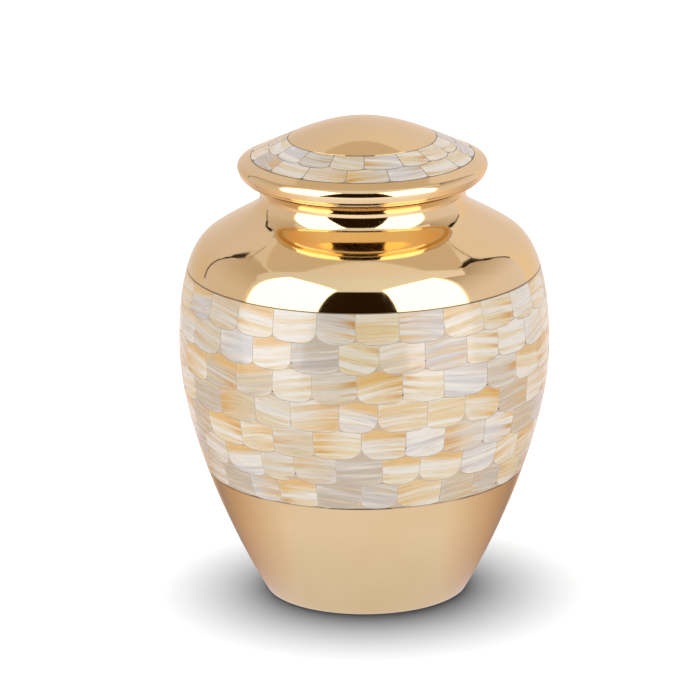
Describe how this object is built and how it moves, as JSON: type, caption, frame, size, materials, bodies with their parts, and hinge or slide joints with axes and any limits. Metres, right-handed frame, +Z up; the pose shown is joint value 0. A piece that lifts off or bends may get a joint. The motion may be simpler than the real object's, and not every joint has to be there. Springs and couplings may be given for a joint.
{
  "type": "cremation urn",
  "caption": "Brass cremation urn with a band of mother-of-pearl tiles round the belly and a matching lift-off domed lid.",
  "frame": {"origin": "centre of the foot's flat underside, on the surface that the urn stands on", "axes": "+Z up along the urn's axis of turning; -Y is the side the picture shows"},
  "size_m": [0.1798, 0.18, 0.2353],
  "materials": {
    "polished_brass": "polished and lacquered",
    "shell_tiles": "mother-of-pearl, polished flush and lacquered"
  },
  "bodies": {
    "root": {"urn_body": "polished_brass", "urn_lid": "polished_brass", "band_shell_course_1": "shell_tiles", "band_shell_course_2": "shell_tiles", "band_shell_course_3": "shell_tiles", "band_shell_course_4": "shell_tiles", "band_shell_course_5": "shell_tiles", "band_shell_course_6": "shell_tiles", "band_shell_course_7": "shell_tiles", "lid_shell_course_1": "shell_tiles", "lid_shell_course_2": "shell_tiles"}
  },
  "joints": []
}
